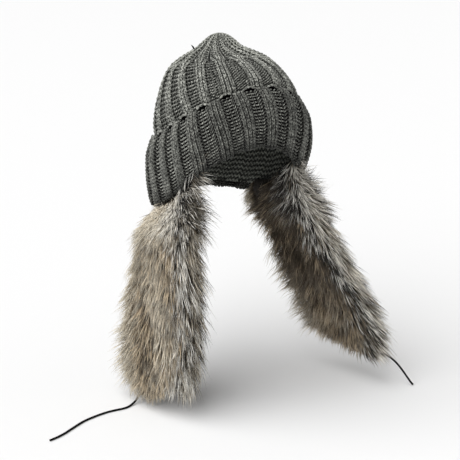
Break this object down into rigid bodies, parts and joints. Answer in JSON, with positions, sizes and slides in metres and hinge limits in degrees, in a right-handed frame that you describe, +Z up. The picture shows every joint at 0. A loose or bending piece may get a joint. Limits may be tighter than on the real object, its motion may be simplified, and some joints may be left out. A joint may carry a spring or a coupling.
{
  "type": "knit cap with fur ear flaps",
  "caption": "Ribbed knit cap with a pointed crown, a tall turned-up cuff, long fur ear flaps and thin tie cords, held up as a head holds it.",
  "frame": {"origin": "inside top of the crown, where the top of a head holds the cap up", "axes": "+Z up, -Y the way the forehead faces, +X to the wearer's left"},
  "size_m": [0.4564, 0.228, 0.4438],
  "materials": {
    "wool": "chunky heather grey knit",
    "fur": "long pile fake fur, taupe with cream tips and a grizzled black stripe",
    "cord": "thin round waxed cord, black"
  },
  "bodies": {
    "root": {"crown": "wool", "cuff": "wool", "ear_flap_right": "fur", "ear_flap_left": "fur", "tie_cord_right": "cord", "tie_cord_left": "cord"}
  },
  "joints": []
}
